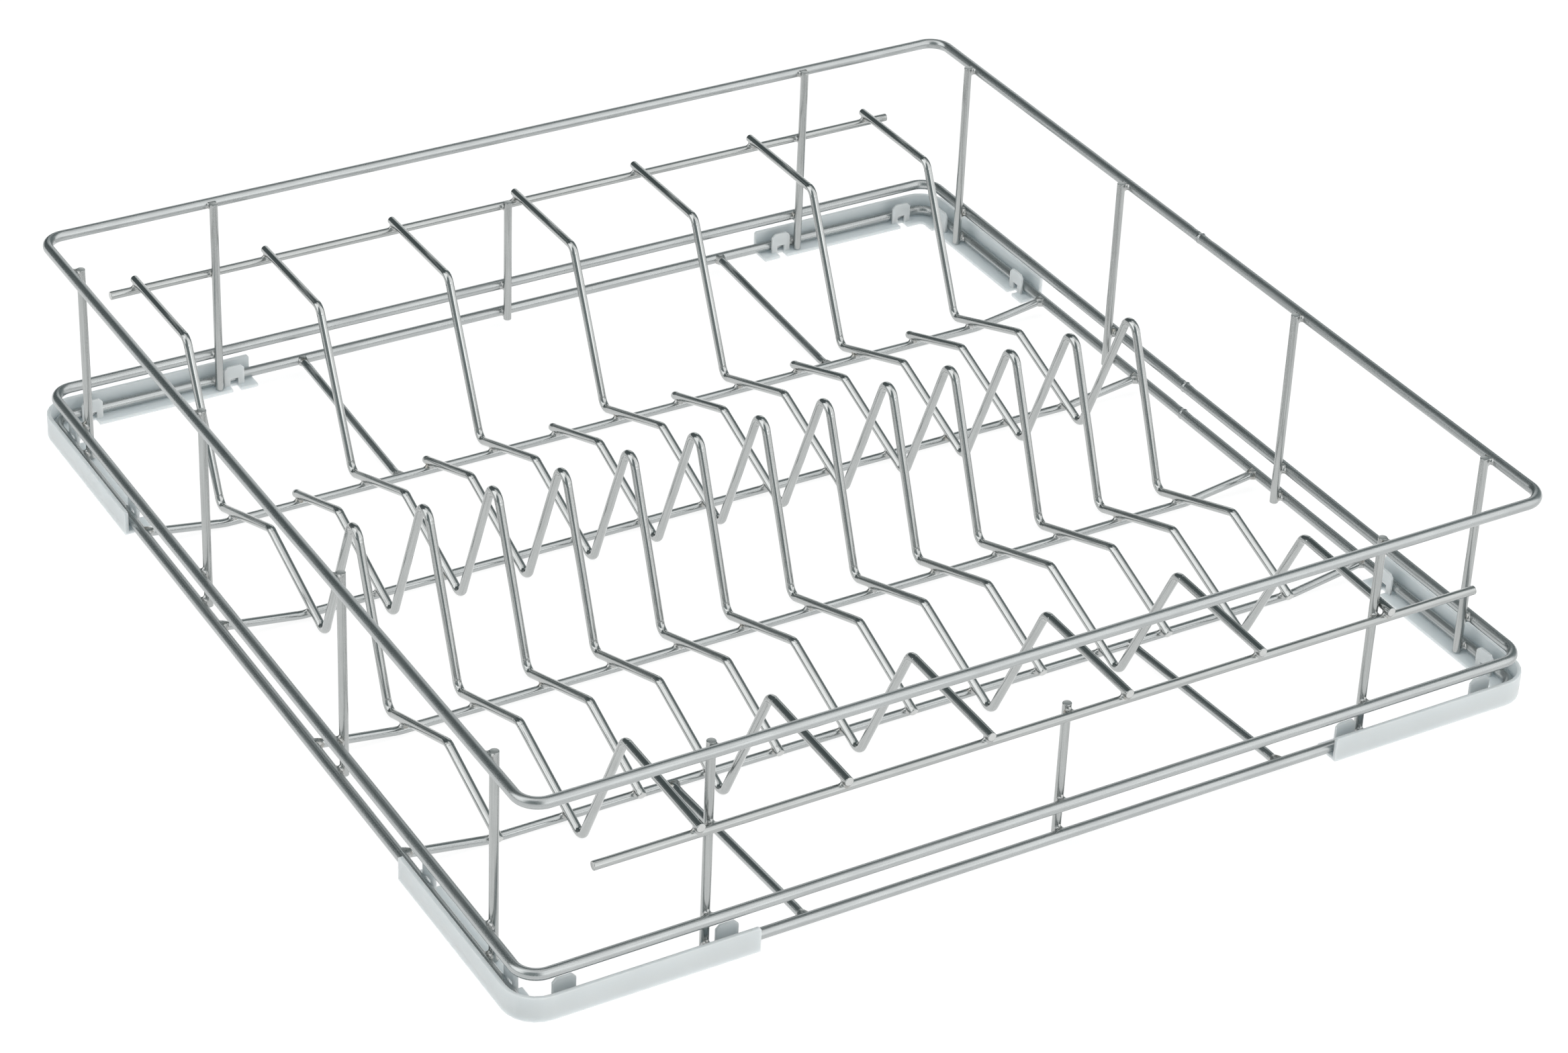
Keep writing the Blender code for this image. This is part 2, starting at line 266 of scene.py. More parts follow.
def milky_plastic(name):
    """Unfilled moulded plastic: milky, lets a little light in, satin, with a fine moulded grain."""
    material, tree, shader = new_material(name)
    place = node(tree, "ShaderNodeTexCoord").outputs["Object"]
    clouds = node(tree, "ShaderNodeTexNoise", Scale=38.0, Detail=3.0)
    grain = node(tree, "ShaderNodeTexNoise", Scale=2600.0, Detail=2.0)
    tree.links.new(place, clouds.inputs["Vector"])
    tree.links.new(place, grain.inputs["Vector"])
    base = mix_colour(tree, clouds.outputs["Fac"], (0.60, 0.634, 0.639), (0.632, 0.666, 0.671))
    tree.links.new(base, shader.inputs["Base Color"])
    tree.links.new(remap(tree, clouds.outputs["Fac"], 0.3, 0.7, 0.36, 0.5), shader.inputs["Roughness"])
    bump = node(tree, "ShaderNodeBump", Strength=0.6, Distance=0.00003)
    tree.links.new(grain.outputs["Fac"], bump.inputs["Height"])
    tree.links.new(bump.outputs["Normal"], shader.inputs["Normal"])
    shader.inputs["Subsurface Weight"].default_value = 1.0
    shader.inputs["Subsurface Radius"].default_value = (0.0042, 0.0044, 0.0046)
    shader.inputs["Subsurface Scale"].default_value = 1.0
    shader.inputs["IOR"].default_value = 1.49
    return material


RING_STEEL = steel("satin_ring_steel", (0.455, 0.475, 0.475), 0.24, 0.34, 0.010, 0.006, 2.8)
POST_STEEL = steel("satin_post_steel", (0.44, 0.455, 0.45), 0.18, 0.26, 0.005, 0.004)
BAR_STEEL = steel("satin_bar_steel", (0.445, 0.465, 0.465), 0.15, 0.24, 0.007, 0.010, 3.0)
PLATE_STEEL = steel("bright_plate_wire_steel", (0.455, 0.47, 0.465), 0.11, 0.18, 0.005, 0.005, 3.0)
CUT_STEEL = steel("sheared_end_steel", (0.62, 0.63, 0.62), 0.30, 0.42, 0.006, 0.012)
WELD_STEEL = weld_metal("set_weld_steel")
GUARD_PLASTIC = milky_plastic("milky_guard_plastic")


# ---------------------------------------------------------------- wires


class WirePath:
    """A flat run of straight legs and round bends, measured along its length in millimetres."""

    def __init__(self, corners, bend_radius, normal, closed=False):
        self.normal = Vector(normal).normalized()
        self.closed = closed
        self.parts = []
        self.bends = []
        self.length = 0.0
        corners = [Vector(corner) for corner in corners]
        count = len(corners)
        place = corners[0]
        for index in range(1, count + (1 if closed else 0)):
            corner = corners[index % count]
            if index == (count if closed else count - 1):
                self.add_line(place, corner)
                break
            after = corners[(index + 1) % count]
            place = self.add_bend(place, corners[index - 1], corner, after, bend_radius)

    def add_line(self, start, end):
        length = (end - start).length
        self.parts.append(("line", self.length, length, start, (end - start) / length))
        self.length += length

    def add_bend(self, place, before, corner, after, radius):
        back = (before - corner).normalized()
        onward = (after - corner).normalized()
        half_angle = back.angle(onward) / 2
        tangent = radius / math.tan(half_angle)
        centre = corner + (back + onward).normalized() * radius / math.sin(half_angle)
        self.add_line(place, corner + back * tangent)
        sweep = math.pi - 2 * half_angle
        spoke = (corner + back * tangent - centre) / radius
        length = radius * sweep
        self.parts.append(("arc", self.length, length, centre, (spoke, -back, radius)))
        inward = 1.0 if self.normal.cross(-back).dot(spoke) < 0 else -1.0
        self.bends.append((self.length, self.length + length, inward))
        self.length += length
        return corner + onward * tangent

    def at(self, distance):
        """The point and the direction at this distance along the wire."""
        for kind, start, length, origin, data in self.parts:
            if distance <= start + length or (kind, start) == self.parts[-1][:2]:
                break
        travel = distance - start
        if kind == "line":
            return origin + data * travel, data
        spoke, heading, radius = data
        angle = travel / radius
        point = origin + (spoke * math.cos(angle) + heading * math.sin(angle)) * radius
        return point, heading * math.cos(angle) - spoke * math.sin(angle)

    def nearest(self, place):
        """The distance along the wire of the point nearest to this place."""
        place = Vector(place)
        steps = int(self.length / 1.5)
        best = min(range(steps + 1), key=lambda i: (self.at(self.length * i / steps)[0] - place).length)
        return self.length * best / steps


class Mark:
    """A small change of the wire's surface at one place: a die nick, a bead or a ground patch."""

    def __init__(self, distance, reach, height, angle=None, spread=1.0, lumps=0.0):
        self.distance = distance
        self.reach = reach
        self.height = height
        self.angle = angle
        self.spread = spread
        self.lumps = lumps
        self.phase = chance.uniform(0.0, 6.28)

    def lift(self, distance, angle):
        share = (distance - self.distance) / self.reach
        if abs(share) > 3.0:
            return 0.0
        value = self.height * math.exp(-share * share)
        if self.angle is not None:
            turn = (angle - self.angle + math.pi) % (2 * math.pi) - math.pi
            value *= math.exp(-((turn / self.spread) ** 2))
        if self.lumps:
            value *= 1.0 + self.lumps * math.sin(3 * angle + self.phase + 2.1 * distance)
        return value


def row_distances(path, marks, heats, straight_step, bend_step):
    """Where the wire has a row of vertices: close in bends and by marks, far apart on straight legs."""
    found = {0.0, path.length}
    count = int(path.length / straight_step)
    found.update(path.length * i / count for i in range(count + 1))
    for start, end, _ in path.bends:
        steps = max(3, int((end - start) / bend_step))
        found.update(start + (end - start) * i / steps for i in range(-1, steps + 2))
    for mark in marks:
        found.update(mark.distance + mark.reach * k * 0.45 for k in range(-6, 7))
    for distance, _ in heats:
        found.update(distance + 1.3 * k for k in range(-4, 5))
    rows = []
    for distance in sorted(found):
        if 0.0 <= distance <= path.length and (not rows or distance - rows[-1] > 0.12):
            rows.append(distance)
    if path.closed:
        rows = [distance for distance in rows if distance < path.length - 0.2]
    return rows


def inside_box(place):
    """Keeps a lump or a bead from standing past the rack's own height."""
    place.z = max(CAD_BOX[0][2], min(CAD_BOX[1][2], place.z))
    return place


def make_wire(name, path, radius, material, sides=20, marks=(), heats=(), straight_step=9.0, bend_step=0.8):
    """A smooth closed wire. It carries its own coordinates and its heat tint as attributes."""
    offset = chance.uniform(0.0, 4000.0)
    wave_phase = chance.uniform(0.0, 6.28)
    rows = [(distance, None) for distance in row_distances(path, marks, heats, straight_step, bend_step)]
    if not path.closed:
        rounding = []
        for k in range(4):
            angle = math.pi / 2 * k / 3
            rounding.append((EDGE_ROUND * (1 - math.cos(angle)), radius - EDGE_ROUND * (1 - math.sin(angle))))
        between = [row for row in rows if EDGE_ROUND + 0.1 < row[0] < path.length - EDGE_ROUND - 0.1]
        rows = rounding + between + [(path.length - inset, size) for inset, size in reversed(rounding)]
    vertices = []
    coordinates = []
    tints = []
    for distance, size in rows:
        point, heading = path.at(distance)
        side = path.normal.cross(heading)
        squeeze = 0.0
        for begin, end, _ in path.bends:
            if begin - 1 < distance < end + 1:
                squeeze = BEND_SQUEEZE
        tint = 0.0
        for where, strength in heats:
            tint += strength * math.exp(-(((distance - where) / HEAT_REACH) ** 2))
        for k in range(sides):
            angle = 2 * math.pi * k / sides
            reach = radius if size is None else size
            reach *= 1 + squeeze * (math.sin(angle) ** 2 - math.cos(angle) ** 2)
            if size is None:
                reach += sum(mark.lift(distance, angle) for mark in marks)
                reach += WAVE_HEIGHT * math.sin(distance * WAVE_RATE + 2 * angle + wave_phase)
            outward = side * math.cos(angle) + path.normal * math.sin(angle)
            vertices.append(inside_box((point + outward * reach) * MM))
            coordinates.append((radius * math.cos(angle), radius * math.sin(angle), distance + offset))
            tints.append(min(1.0, tint))
    faces = []
    count = len(rows)
    for row in range(count if path.closed else count - 1):
        low = row * sides
        high = (row + 1) % count * sides
        for k in range(sides):
            nxt = (k + 1) % sides
            faces.append((low + k, low + nxt, high + nxt, high + k))
    if not path.closed:
        for row, turn in ((0, -1), (count - 1, 1)):
            low = row * sides
            point, heading = path.at(rows[row][0])
            vertices.append((point - heading * turn * CUT_HOLLOW) * MM)
            coordinates.append((0.0, 0.0, rows[row][0] + offset))
            tints.append(tints[low])
            middle = len(vertices) - 1
            for k in range(sides):
                nxt = (k + 1) % sides
                faces.append((low + k, low + nxt, middle) if turn > 0 else (low + nxt, low + k, middle))
    cut_faces = 0 if path.closed else 2 * sides
    attributes = {"wire_coord": coordinates, "heat": tints}
    return finish_piece(name, vertices, faces, (material, CUT_STEEL), attributes, cut_faces)


def finish_piece(name, vertices, faces, materials, attributes, cut_faces=0):
    """The last faces, as many as cut_faces, take the second material."""
    mesh = bpy.data.meshes.new(name)
    mesh.from_pydata([tuple(vertex) for vertex in vertices], [], faces)
    for title, values in attributes.items():
        if isinstance(values[0], tuple):
            layer = mesh.attributes.new(title, "FLOAT_VECTOR", "POINT")
            layer.data.foreach_set("vector", [number for value in values for number in value])
        else:
            layer = mesh.attributes.new(title, "FLOAT", "POINT")
            layer.data.foreach_set("value", values)
    if cut_faces:
        indices = [0] * (len(faces) - cut_faces) + [1] * cut_faces
        mesh.polygons.foreach_set("material_index", indices)
    body = bmesh.new()
    body.from_mesh(mesh)
    bmesh.ops.recalc_face_normals(body, faces=body.faces)
    body.to_mesh(mesh)
    body.free()
    for material in materials[: 2 if cut_faces else 1]:
        mesh.materials.append(material)
    mesh.shade_smooth()
    mesh.set_sharp_from_angle(angle=math.radians(38))
    piece = bpy.data.objects.new(name, mesh)
    bpy.context.scene.collection.objects.link(piece)
    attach(piece, "root")
    return piece


# ---------------------------------------------------------------- welds


class Weld:
    """Melted metal where two wires meet. The places are in millimetres."""

    def __init__(self, place, heat=None):
        self.place = Vector(place)
        self.heat = chance.uniform(0.05, 0.45) if heat is None else heat


def ripple(phases, angle):
    return sum(math.sin((k + 2) * angle + phase) / (k + 1.5) for k, phase in enumerate(phases))


def crossing_shell(upper, upper_axis, upper_radius, lower, lower_axis, lower_radius, span_z=(-100.0, 500.0)):
    """The fillet round the place where two wires cross: a saddle-shaped collar that hugs both wires.

    It stays between the two heights in span_z, so that it never stands past the end of a wire."""
    upper_axis = Vector(upper_axis).normalized()
    lower_axis = Vector(lower_axis).normalized()
    apart = Vector(upper) - Vector(lower)
    out = upper_axis.cross(lower_axis).normalized()
    if out.dot(apart) < 0:
        out.negate()
    span = apart.dot(out)
    # Slide both centres to the points of closest approach.
    across = apart - out * span
    twist = upper_axis.dot(lower_axis)
    along_upper = (across.dot(lower_axis) * twist - across.dot(upper_axis)) / (1 - twist * twist)
    top_centre = Vector(upper) + upper_axis * along_upper
    middle = top_centre - out * (upper_radius + (span - upper_radius - lower_radius) / 2)
    half_gap = (span - upper_radius - lower_radius) / 2
    ahead = upper_axis
    aside = out.cross(ahead)
    phases = [chance.uniform(0, 6.28) for _ in range(4)]
    reach_low = chance.uniform(1.1, 1.7)
    reach_high = chance.uniform(0.7, 1.1)
    around, steps = WELD_SIDES, 5
    rings = [[] for _ in range(steps + 1)]
    for k in range(around):
        angle = 2 * math.pi * k / around
        c, s = math.cos(angle), math.sin(angle)
        rough = 1 + 0.09 * ripple(phases, angle)
        low_r = 1 / math.hypot(c / (lower_radius * 0.97), s / (upper_radius + reach_low * rough))
        high_r = 1 / math.hypot(c / (lower_radius + reach_high * rough), s / (upper_radius * 0.97))
        low_h = -half_gap - lower_radius + math.sqrt(max(0.0, lower_radius**2 - (low_r * c) ** 2)) - 0.04
        high_h = half_gap + upper_radius - math.sqrt(max(0.0, upper_radius**2 - (high_r * s) ** 2)) + 0.04
        waist_r = min(low_r, high_r) * (0.80 + 0.05 * ripple(phases[::-1], angle))
        waist_h = (low_h * high_r + high_h * low_r) / (low_r + high_r) * 0.4
        for step in range(steps + 1):
            t = step / steps
            r = (1 - t) ** 2 * low_r + 2 * t * (1 - t) * waist_r + t * t * high_r
            h = (1 - t) ** 2 * low_h + 2 * t * (1 - t) * waist_h + t * t * high_h
            point = middle + ahead * (r * c) + aside * (r * s) + out * h
            point.z = max(span_z[0], min(span_z[1], point.z))
            rings[step].append(point)
    return close_rings(rings, middle - out * (half_gap + 0.7), middle + out * (half_gap + 0.7))


def collar_shell(end, axis, radius, ring_axis, ring_radius, gap):
    """The fillet round a wire's end that meets the side of another wire. Axis points at that wire."""
    end = Vector(end)
    axis = Vector(axis).normalized()
    ring_axis = Vector(ring_axis).normalized()
    side = axis.cross(ring_axis).normalized()
    phases = [chance.uniform(0, 6.28) for _ in range(4)]
    flare = chance.uniform(0.75, 1.2)
    around, steps = WELD_SIDES, 6
    rings = [[] for _ in range(steps + 1)]
    for k in range(around):
        angle = 2 * math.pi * k / around
        c, s = math.cos(angle), math.sin(angle)
        rough = 1 + 0.16 * ripple(phases, angle)
        start_back = 1.5 * rough
        foot = radius + flare * rough
        sideways = min(foot * abs(s), ring_radius * 0.93)
        dip = ring_radius - math.sqrt(ring_radius**2 - sideways**2)
        for step in range(steps + 1):
            t = step / steps
            if step == 0:
                r, h = radius - 0.05, -start_back - 0.25
            else:
                bulge = 0.22 * math.sin(math.pi * t)
                r = radius + 0.03 + (foot - radius) * t**1.6 + bulge
                h = -start_back * (1 - t) + (gap + dip + 0.05) * t**1.4
            aside = math.copysign(min(abs(r * s), ring_radius * 0.95), s)
            rings[step].append(end + axis * h + ring_axis * (r * c) + side * aside)
    return close_rings(rings, end - axis * 1.6, end + axis * (gap + 0.4))


def close_rings(rings, first, last):
    """Vertices and faces of a closed shell through these rings, with a fan on both ends."""
    around = len(rings[0])
    vertices = [point for ring in rings for point in ring] + [first, last]
    faces = []
    for row in range(len(rings) - 1):
        for k in range(around):
            nxt = (k + 1) % around
            a, b = row * around, (row + 1) * around
            faces.append((a + k, a + nxt, b + nxt, b + k))
    top = (len(rings) - 1) * around
    for k in range(around):
        nxt = (k + 1) % around
        faces.append((nxt, k, len(vertices) - 2))
        faces.append((top + k, top + nxt, len(vertices) - 1))
    return vertices, faces


class WeldGroup:
    def __init__(self, name, slot):
        self.name = name
        self.slot = slot
        self.vertices = []
        self.faces = []

    def add(self, shell):
        vertices, faces = shell
        base = len(self.vertices)
        self.vertices.extend(inside_box(Vector(vertex) * MM) for vertex in vertices)
        self.faces.extend(tuple(base + index for index in face) for face in faces)

    def build(self):
        piece = finish_piece(self.name, self.vertices, self.faces, (WELD_STEEL,), {})


RIM_WELDS = WeldGroup("rim_welds", "ring_steel")
UPPER_WELDS = WeldGroup("upper_ring_welds", "ring_steel")
LOWER_WELDS = WeldGroup("lower_ring_welds", "ring_steel")
RAIL_WELDS = WeldGroup("rail_welds", "post_steel")
BAR_WELDS = WeldGroup("cross_bar_welds", "bar_steel")

# Heat tints by node: distances are found on the wire from these places.
heat_places = {}
# One weld was held too long and is browned.
SCORCHED_WELD = ("left_post_2", "upper_base_ring")
SCORCH_HEAT = 1.6


def warm(name, place, strength=None):
    heat_places.setdefault(name, []).append(Weld(place, strength))


def heats_on(name, path):
    return [(path.nearest(weld.place), weld.heat) for weld in heat_places.get(name, ())]


# ---------------------------------------------------------------- the rack's wires


def plate_wire_places():
    for index in range(7):
        yield f"back_plate_wire_{index + 1}", (index - 3) * PLATE_WIRE_PITCH, 1
    for index in range(6):
        yield f"front_plate_wire_{index + 1}", (index - 2.5) * PLATE_WIRE_PITCH, -1


def bars():
    yield "cross_bar_back", OUTER_BAR_Y, OUTER_BAR_Z
    yield "cross_bar_mid_back", INNER_BAR_Y, INNER_BAR_Z
    yield "cross_bar_mid_front", -INNER_BAR_Y, INNER_BAR_Z
    yield "cross_bar_front", -OUTER_BAR_Y, OUTER_BAR_Z


def posts():
    """Name, x, y, top, and the direction from the post to its rings."""
    for number, y in enumerate(SIDE_POST_Y, 1):
        yield f"left_post_{number}", -SIDE_POST_X, y, POST_TOP_Z, -X_AXIS
        yield f"right_post_{number}", SIDE_POST_X, y, POST_TOP_Z, X_AXIS
    for name, x, side in END_POSTS:
        yield name, x, side * END_POST_Y, POST_TOP_Z, Y_AXIS * side
    yield "front_short_post", FRONT_SHORT_POST_X, -END_POST_Y, SHORT_POST_TOP_Z, -Y_AXIS
    yield "back_short_post", BACK_SHORT_POST_X, END_POST_Y, SHORT_POST_TOP_Z, Y_AXIS


def stubs():
    for end, side in (("back", 1), ("front", -1)):
        yield f"{end}_stub_left", STUB_SHIFTS[end] - STUB_X, side
        yield f"{end}_stub_right", STUB_SHIFTS[end] + STUB_X, side


def askew(x, y):
    """Where a plate wire that stands at x passes this y."""
    return x + PLATE_WIRE_SHIFT + PLATE_WIRE_SLANT * y


def plate_path(x, side):
    corners = [(askew(x, side * y), side * y, z) for y, z in PLATE_WIRE_CORNERS]
    return WirePath(corners, PLATE_WIRE_BEND_RADIUS, X_AXIS - Y_AXIS * PLATE_WIRE_SLANT)


def bar_path(y, height):
    corners = [
        (-RING_INNER_X, y, LOWER_RING_Z),
        (-BAR_KNEE_X, y, height),
        (BAR_KNEE_X, y, height),
        (RING_INNER_X, y, LOWER_RING_Z),
    ]
    return WirePath(corners, BAR_BEND_RADIUS, Y_AXIS)


def stub_path(x, side):
    bar_end = OUTER_BAR_Y + WIRE_RADIUS + WELD_GAP
    corners = [
        (x, side * RING_INNER_Y, LOWER_RING_Z),
        (x, side * (RING_INNER_Y - STUB_RING_RUN), LOWER_RING_Z),
        (x, side * (bar_end + STUB_BAR_RUN), OUTER_BAR_Z),
        (x, side * bar_end, OUTER_BAR_Z),
    ]
    return WirePath(corners, STUB_BEND_RADIUS, X_AXIS)


def ring_path(height):
    """Starts and ends at the butt weld on the right side."""
    corners = [
        (HALF_X, BUTT_WELD_Y, height),
        (HALF_X, HALF_Y, height),
        (-HALF_X, HALF_Y, height),
        (-HALF_X, -HALF_Y, height),
        (HALF_X, -HALF_Y, height),
    ]
    return WirePath(corners, RING_CORNER_RADIUS, Z_AXIS, closed=True)


def plan_post_welds():
    for name, x, y, top, out in posts():
        along = Y_AXIS if abs(out.x) > 0.5 else X_AXIS
        middle = Vector((x, y, 0))
        rings = [
            ("lower_base_ring", LOWER_RING_Z, LOWER_WELDS),
            ("upper_base_ring", UPPER_RING_Z, UPPER_WELDS),
        ]
        if "short" not in name:
            rings.append(("rim_ring", RIM_Z, RIM_WELDS))
        for ring_name, height, group in rings:
            post_centre = middle + Z_AXIS * height
            ring_centre = post_centre + out * POST_INSET
            strength = SCORCH_HEAT if (name, ring_name) == SCORCHED_WELD else None
            reach = (POST_FOOT_Z + 0.2, top - 0.1)
            shell = crossing_shell(post_centre, Z_AXIS, WIRE_RADIUS, ring_centre, along, RING_RADIUS, reach)
            group.add(shell)
            warm(name, post_centre, strength)
            warm(ring_name, ring_centre, strength)
        if abs(out.y) > 0.5:
            post_centre = middle + Z_AXIS * RAIL_Z
            rail_centre = Vector((x, out.y * RAIL_Y, RAIL_Z))
            RAIL_WELDS.add(crossing_shell(post_centre, Z_AXIS, WIRE_RADIUS, rail_centre, X_AXIS, WIRE_RADIUS))
            warm(name, post_centre)
            warm("front_rail" if out.y < 0 else "back_rail", rail_centre)


def plan_plate_wire_welds():
    for name, x, side in plate_wire_places():
        rail_y = side * RAIL_Y
        end_y, end_z = PLATE_WIRE_CORNERS[0]
        knee_y, knee_z = PLATE_WIRE_CORNERS[1]
        share = (end_y - RAIL_Y) / (end_y - knee_y)
        rail_x = askew(x, rail_y)
        wire_place = Vector((rail_x, rail_y, end_z + (knee_z - end_z) * share))
        heading = Vector((0, side * (knee_y - end_y), knee_z - end_z))
        rail_place = Vector((rail_x, rail_y, RAIL_Z))
        RAIL_WELDS.add(crossing_shell(wire_place, heading, WIRE_RADIUS, rail_place, X_AXIS, WIRE_RADIUS))
        warm(name, wire_place)
        warm("front_rail" if side < 0 else "back_rail", rail_place)
        for bar_name, bar_y, bar_z in bars():
            start, end = leg_over(bar_y * side)
            span = end[0] - start[0]
            height = start[1] + (end[1] - start[1]) * (bar_y * side - start[0]) / span
            heading = Vector((0, side * span, end[1] - start[1]))
            wire_place = Vector((askew(x, bar_y), bar_y, height))
            bar_place = Vector((askew(x, bar_y), bar_y, bar_z))
            BAR_WELDS.add(crossing_shell(wire_place, heading, WIRE_RADIUS, bar_place, X_AXIS, WIRE_RADIUS))
            warm(name, wire_place)
            warm(bar_name, bar_place)


def leg_over(y):
    """The leg of a plate wire that passes over this y, in the wire's own sense."""
    for start, end in zip(PLATE_WIRE_CORNERS, PLATE_WIRE_CORNERS[1:]):
        if end[0] <= y <= start[0]:
            return start, end
    raise ValueError(y)


def plan_end_welds():
    for name, y, height in bars():
        path = bar_path(y, height)
        for distance, turn in ((0.0, -1), (path.length, 1)):
            point, heading = path.at(distance)
            LOWER_WELDS.add(collar_shell(point, X_AXIS * turn, WIRE_RADIUS, Y_AXIS, RING_RADIUS, WELD_GAP))
            warm(name, point)
            warm("lower_base_ring", point)
    for name, x, side in stubs():
        path = stub_path(x, side)
        ring_end, _ = path.at(0.0)
        bar_end, _ = path.at(path.length)
        LOWER_WELDS.add(collar_shell(ring_end, Y_AXIS * side, WIRE_RADIUS, X_AXIS, RING_RADIUS, WELD_GAP))
        BAR_WELDS.add(collar_shell(bar_end, Y_AXIS * -side, WIRE_RADIUS, X_AXIS, WIRE_RADIUS, WELD_GAP))
        warm(name, ring_end)
        warm(name, bar_end)
        warm("lower_base_ring", ring_end)
        warm("cross_bar_back" if side > 0 else "cross_bar_front", bar_end)


def replace_wire(name, path, radius, material, sides, marks, straight_step, bend_step):
    """Makes the fine wire that stands in for a CAD node."""
    heats = heats_on(name, path)
    piece = make_wire(f"{name}_wire", path, radius, material, sides, marks, heats, straight_step, bend_step)
    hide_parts(name)


def build_ring(name, height):
    path = ring_path(height)
    marks = [
        Mark(2.0, 0.45, 0.34, lumps=0.35),
        Mark(3.4, 0.8, -0.10, angle=math.pi * 0.6, spread=0.9),
        Mark(8.0, 2.6, -0.16, angle=math.pi * 0.75, spread=0.8, lumps=0.4),
        Mark(path.length - 4.5, 2.6, -0.14, angle=math.pi * 0.75, spread=0.8, lumps=0.4),
    ]
    replace_wire(name, path, RING_RADIUS, RING_STEEL, 28, marks, 6.0, 0.9)


def build_posts():
    for name, x, y, top, out in posts():
        path = WirePath([(x, y, POST_FOOT_Z), (x, y, top)], 1.0, out)
        replace_wire(name, path, WIRE_RADIUS, POST_STEEL, 24, (), 8.0, 1.0)


def build_rails():
    for end, side in (("front", -1), ("back", 1)):
        ends = (RAIL_SHIFTS[end] - RAIL_HALF_LENGTH, RAIL_SHIFTS[end] + RAIL_HALF_LENGTH)
        path = WirePath([(x, side * RAIL_Y, RAIL_Z) for x in ends], 1.0, Z_AXIS)
        replace_wire(f"{end}_rail", path, WIRE_RADIUS, POST_STEEL, 24, (), 8.0, 1.0)


def die_marks(path, depth, reach):
    """A shallow nick on the inner side at one end of each tight bend."""
    marks = []
    for start, end, inward in path.bends:
        # The angle round the wire, from its in-plane side, that faces the inside of the bend.
        facing = 0.0 if inward > 0 else math.pi
        marks.append(Mark(start - 0.6, reach, -depth * chance.uniform(0.6, 1.2), facing, 0.75))
        marks.append(Mark(start - 1.6, reach * 0.7, depth * 0.5, facing, 0.6))
        marks.append(Mark(end + 0.5, reach, -depth * chance.uniform(0.3, 0.8), facing, 0.75))
    return marks


def build_plate_wires():
    for name, x, side in plate_wire_places():
        path = plate_path(x, side)
        marks = die_marks(path, 0.04, 0.6)
        marks.append(Mark(path.length - 1.8, 1.3, 0.14, lumps=0.2))
        replace_wire(name, path, WIRE_RADIUS, PLATE_STEEL, 24, marks, 9.0, 0.5)


def build_bars_and_stubs():
    for name, y, height in bars():
        path = bar_path(y, height)
        marks = []
        for start, end, _ in path.bends:
            marks.append(Mark((start + end) / 2 + chance.uniform(-3, 3), 1.2, -0.12, math.pi / 2, 0.6))
        replace_wire(name, path, WIRE_RADIUS, BAR_STEEL, 24, marks, 8.0, 1.2)
    for name, x, side in stubs():
        path = stub_path(x, side)
        replace_wire(name, path, WIRE_RADIUS, BAR_STEEL, 24, (), 6.0, 0.8)


# ---------------------------------------------------------------- corner guards


def flatten_barb(place):
    """The clips' outer faces are plain: the row of points along a clip's barb is set back into its face."""
    for axis, half in ((0, HALF_X), (1, HALF_Y)):
        outward = abs(place[axis]) / MM - half
        if place.z / MM > LOWER_RING_Z and abs(outward - CLIP_BARB_FACE) < 0.05:
            place[axis] = math.copysign((half + CLIP_FACE) * MM, place[axis])


def build_guard(name):
    """The moulded guard: the CAD's form with every edge rounded."""
    body = bmesh.new()
    body.from_mesh(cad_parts[name].data)
    bmesh.ops.remove_doubles(body, verts=body.verts, dist=1e-6)
    for vertex in body.verts:
        flatten_barb(vertex.co)
    bmesh.ops.dissolve_limit(body, angle_limit=math.radians(1.0), verts=body.verts, edges=body.edges)
    sharp = [edge for edge in body.edges if edge.is_manifold and edge.calc_face_angle() > math.radians(32)]
    bmesh.ops.bevel(
        body,
        geom=sharp,
        offset=GUARD_EDGE_ROUND * MM,
        offset_type="OFFSET",
        segments=3,
        profile=0.5,
        affect="EDGES",
        clamp_overlap=True,
    )
    bmesh.ops.recalc_face_normals(body, faces=body.faces)
    mesh = bpy.data.meshes.new(f"{name}_moulding")
    body.to_mesh(mesh)
    body.free()
    mesh.materials.append(GUARD_PLASTIC)
    mesh.shade_smooth()
    mesh.set_sharp_from_angle(angle=math.radians(50))
    piece = bpy.data.objects.new(f"{name}_moulding", mesh)
    bpy.context.scene.collection.objects.link(piece)
    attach(piece, "root")
    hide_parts(name)


def build_guards():
    for corner in ("front_left", "front_right", "back_left", "back_right"):
        build_guard(f"corner_guard_{corner}")


# ---------------------------------------------------------------- stage


# In metres: the floor has no visible end.
FLOOR_REACH = 30.0


def build_floor():
    mesh = bpy.data.meshes.new("studio_floor")
    corners = [(x * FLOOR_REACH, y * FLOOR_REACH, 0) for x, y in ((-1, -1), (1, -1), (1, 1), (-1, 1))]
    mesh.from_pydata(corners, [], [(0, 1, 2, 3)])
    floor = bpy.data.objects.new("studio_floor", mesh)
    bpy.context.scene.collection.objects.link(floor)
    material, _, shader = new_material("white_sweep")
    shader.inputs["Base Color"].default_value = (0.25, 0.25, 0.25, 1.0)
    shader.inputs["Roughness"].default_value = 0.9
    shader.inputs["Specular IOR Level"].default_value = 0.0
    shader.inputs["Emission Color"].default_value = (1.0, 1.0, 1.0, 1.0)
    shader.inputs["Emission Strength"].default_value = 0.86
    mesh.materials.append(material)


